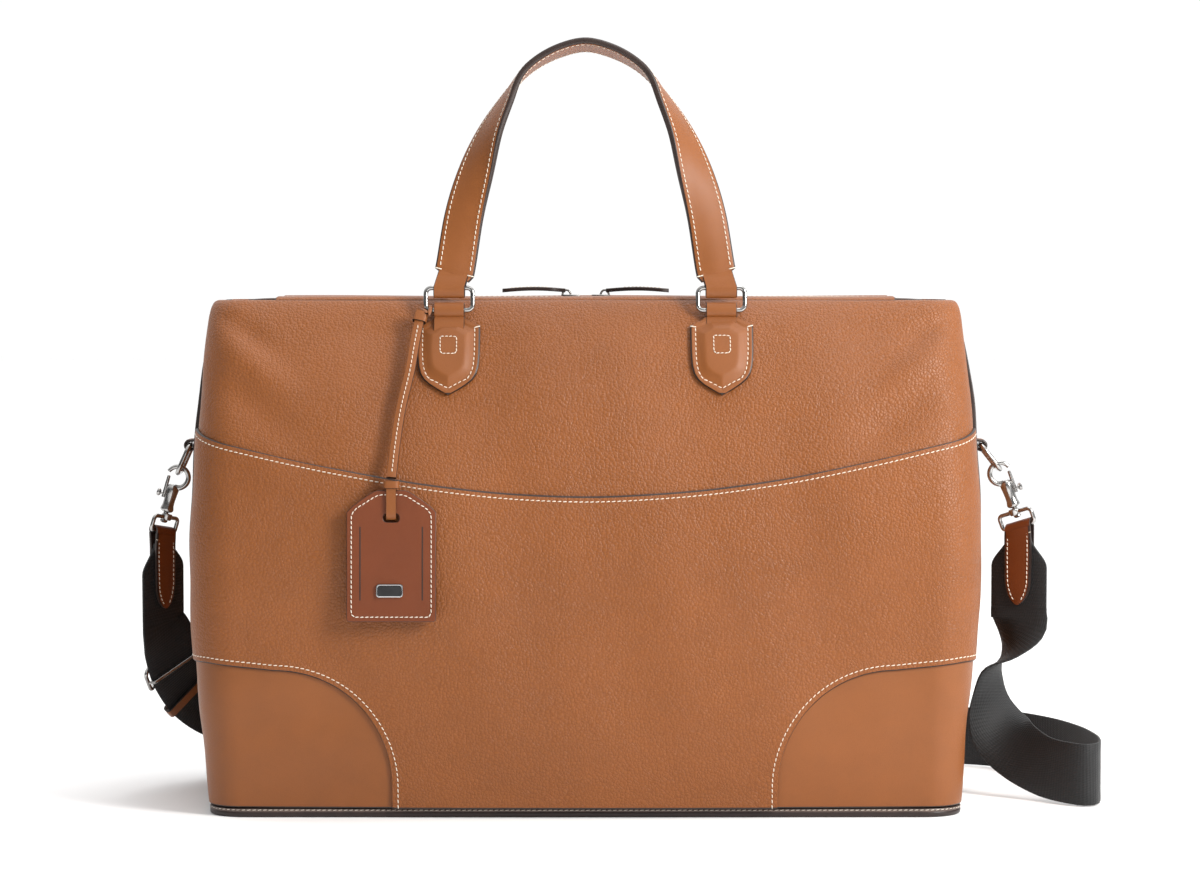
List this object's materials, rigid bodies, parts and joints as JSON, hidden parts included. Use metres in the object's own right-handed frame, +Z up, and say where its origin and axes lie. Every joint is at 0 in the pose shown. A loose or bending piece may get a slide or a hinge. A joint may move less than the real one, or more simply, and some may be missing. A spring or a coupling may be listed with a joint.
{
  "type": "weekender bag",
  "caption": "Soft leather weekender bag with a zipped mouth, handles on rings, a luggage tag and a clip-on webbing shoulder strap.",
  "frame": {"origin": "centre of the underside of the base, on the surface the bag stands on", "axes": "+X to the right seen from the front with the tag, +Y to the back, +Z up"},
  "size_m": [0.6325, 0.2854, 0.4945],
  "materials": {
    "grained_leather": "pebbled, semi-matt",
    "smooth_leather": "smooth, satin",
    "painted_edge": "painted edge",
    "fibre_board": "pressed fibre board",
    "lining_cloth": "woven",
    "zip_tape": "woven tape",
    "polished_metal": "polished",
    "webbing": "woven webbing",
    "badge_metal": "polished rim, dark enamel"
  },
  "bodies": {
    "bag": {"back_lower_panel": "grained_leather", "back_upper_panel": "grained_leather", "base_board": "fibre_board", "base_panel": "painted_edge", "chape_front_left": "smooth_leather", "chape_front_right": "smooth_leather", "chape_rear_left": "smooth_leather", "chape_rear_right": "smooth_leather", "corner_boot_left": "smooth_leather", "corner_boot_right": "smooth_leather", "front_lower_panel": "grained_leather", "front_upper_panel": "grained_leather", "gusset_left": "grained_leather", "gusset_right": "grained_leather", "lining": "lining_cloth", "shoulder_strap": "webbing", "side_tab_left": "smooth_leather", "side_tab_right": "smooth_leather", "strap_adjuster": "polished_metal", "strap_keeper": "smooth_leather", "zip_end_left": "smooth_leather", "zip_end_right": "smooth_leather"},
    "mouth_front": {"top_flap_front": "grained_leather", "zip_tape_front": "zip_tape", "zip_teeth_front": "polished_metal"},
    "mouth_back": {"top_flap_back": "grained_leather", "zip_tape_back": "zip_tape", "zip_teeth_back": "polished_metal"},
    "slider_left": {"zip_slider_left": "polished_metal"},
    "slider_right": {"zip_slider_right": "polished_metal"},
    "pull_left": {"zip_pull_left": "smooth_leather"},
    "pull_right": {"zip_pull_right": "smooth_leather"},
    "rings_front": {"ring_front_left": "polished_metal", "ring_front_right": "polished_metal"},
    "handle_front": {"handle_front": "smooth_leather"},
    "rings_rear": {"ring_rear_left": "polished_metal", "ring_rear_right": "polished_metal"},
    "handle_rear": {"handle_rear": "smooth_leather"},
    "tag_strap": {"tag_strap": "smooth_leather"},
    "tag": {"tag_front": "smooth_leather", "tag_back": "smooth_leather", "tag_loop": "smooth_leather", "tag_badge": "badge_metal"},
    "d_ring_left": {"d_ring_left": "polished_metal"},
    "d_ring_right": {"d_ring_right": "polished_metal"},
    "clip_left": {"swivel_left": "polished_metal", "strap_end_left": "smooth_leather", "strap_stub_left": "webbing"},
    "clip_right": {"swivel_right": "polished_metal", "strap_end_right": "smooth_leather", "strap_stub_right": "webbing"},
    "hook_left": {"hook_left": "polished_metal"},
    "hook_right": {"hook_right": "polished_metal"},
    "gate_left": {"hook_gate_left": "polished_metal"},
    "gate_right": {"hook_gate_right": "polished_metal"}
  },
  "joints": [
    {"name": "mouth_front_opens", "type": "hinge", "parent": "bag", "child": "mouth_front", "pos_m": [0, -0.044, 0.3282], "axis": [1, 0, 0], "range_deg": [0, 70]},
    {"name": "mouth_back_opens", "type": "hinge", "parent": "bag", "child": "mouth_back", "pos_m": [0, 0.044, 0.3282], "axis": [1, 0, 0], "range_deg": [-70, 0]},
    {"name": "zip_slider_left_runs", "type": "slide", "parent": "mouth_front", "child": "slider_left", "axis": [-1, 0, 0], "range_m": [0, 0.183]},
    {"name": "zip_slider_right_runs", "type": "slide", "parent": "mouth_front", "child": "slider_right", "axis": [1, 0, 0], "range_m": [0, 0.183]},
    {"name": "zip_pull_left_lifts", "type": "hinge", "parent": "slider_left", "child": "pull_left", "pos_m": [-0.0125, 0, 0.3318], "axis": [0, 1, 0], "range_deg": [0, 100]},
    {"name": "zip_pull_right_lifts", "type": "hinge", "parent": "slider_right", "child": "pull_right", "pos_m": [0.0125, 0, 0.3318], "axis": [0, -1, 0], "range_deg": [0, 100]},
    {"name": "front_rings_swing", "type": "hinge", "parent": "bag", "child": "rings_front", "pos_m": [0, -0.06071, 0.31992], "axis": [1, 0, 0], "range_deg": [-12, 65]},
    {"name": "front_handle_swings", "type": "hinge", "parent": "rings_front", "child": "handle_front", "pos_m": [0, -0.05819, 0.3342], "axis": [1, 0, 0], "range_deg": [-45, 100]},
    {"name": "rear_rings_swing", "type": "hinge", "parent": "bag", "child": "rings_rear", "pos_m": [0, 0.06071, 0.31992], "axis": [1, 0, 0], "range_deg": [0, 95]},
    {"name": "rear_handle_swings", "type": "hinge", "parent": "rings_rear", "child": "handle_rear", "pos_m": [0, 0.07165, 0.3104], "axis": [1, 0, 0], "range_deg": [0, 75]},
    {"name": "tag_strap_lifts", "type": "hinge", "parent": "bag", "child": "tag_strap", "pos_m": [-0.0988, -0.06071, 0.31992], "axis": [-1, 0, 0], "range_deg": [0, 35]},
    {"name": "tag_lifts", "type": "hinge", "parent": "tag_strap", "child": "tag", "pos_m": [-0.1212, -0.11421, 0.209], "axis": [-1, 0, 0], "range_deg": [0, 35]},
    {"name": "clip_left_swings", "type": "hinge", "parent": "bag", "child": "clip_left", "pos_m": [-0.259, 0, 0.231], "axis": [0, 1, 0], "range_deg": [0, 20]},
    {"name": "d_ring_left_swings", "type": "hinge", "parent": "bag", "child": "d_ring_left", "pos_m": [-0.259, 0, 0.231], "axis": [0, 1, 0], "range_deg": [0, 20]},
    {"name": "hook_left_turns", "type": "hinge", "parent": "clip_left", "child": "hook_left", "pos_m": [-0.26804, 0, 0.20956], "axis": [-0.2756, 0, -0.9613], "range_deg": [-20, 20]},
    {"name": "hook_left_bolt_slides", "type": "slide", "parent": "hook_left", "child": "gate_left", "axis": [-0.2756, 0, -0.9613], "range_m": [0, 0.006], "stiffness_N_per_m": 200, "springref_m": -0.003},
    {"name": "clip_right_swings", "type": "hinge", "parent": "bag", "child": "clip_right", "pos_m": [0.259, 0, 0.231], "axis": [0, -1, 0], "range_deg": [0, 20]},
    {"name": "d_ring_right_swings", "type": "hinge", "parent": "bag", "child": "d_ring_right", "pos_m": [0.259, 0, 0.231], "axis": [0, -1, 0], "range_deg": [0, 20]},
    {"name": "hook_right_turns", "type": "hinge", "parent": "clip_right", "child": "hook_right", "pos_m": [0.27244, 0, 0.21214], "axis": [0.342, 0, -0.9397], "range_deg": [-20, 20]},
    {"name": "hook_right_bolt_slides", "type": "slide", "parent": "hook_right", "child": "gate_right", "axis": [0.342, 0, -0.9397], "range_m": [0, 0.006], "stiffness_N_per_m": 200, "springref_m": -0.003}
  ],
  "couplings": [
    {"joint": "mouth_back_opens", "follows": "mouth_front_opens", "ratio": -1},
    {"joint": "d_ring_left_swings", "follows": "clip_left_swings", "ratio": 1},
    {"joint": "d_ring_right_swings", "follows": "clip_right_swings", "ratio": 1}
  ]
}
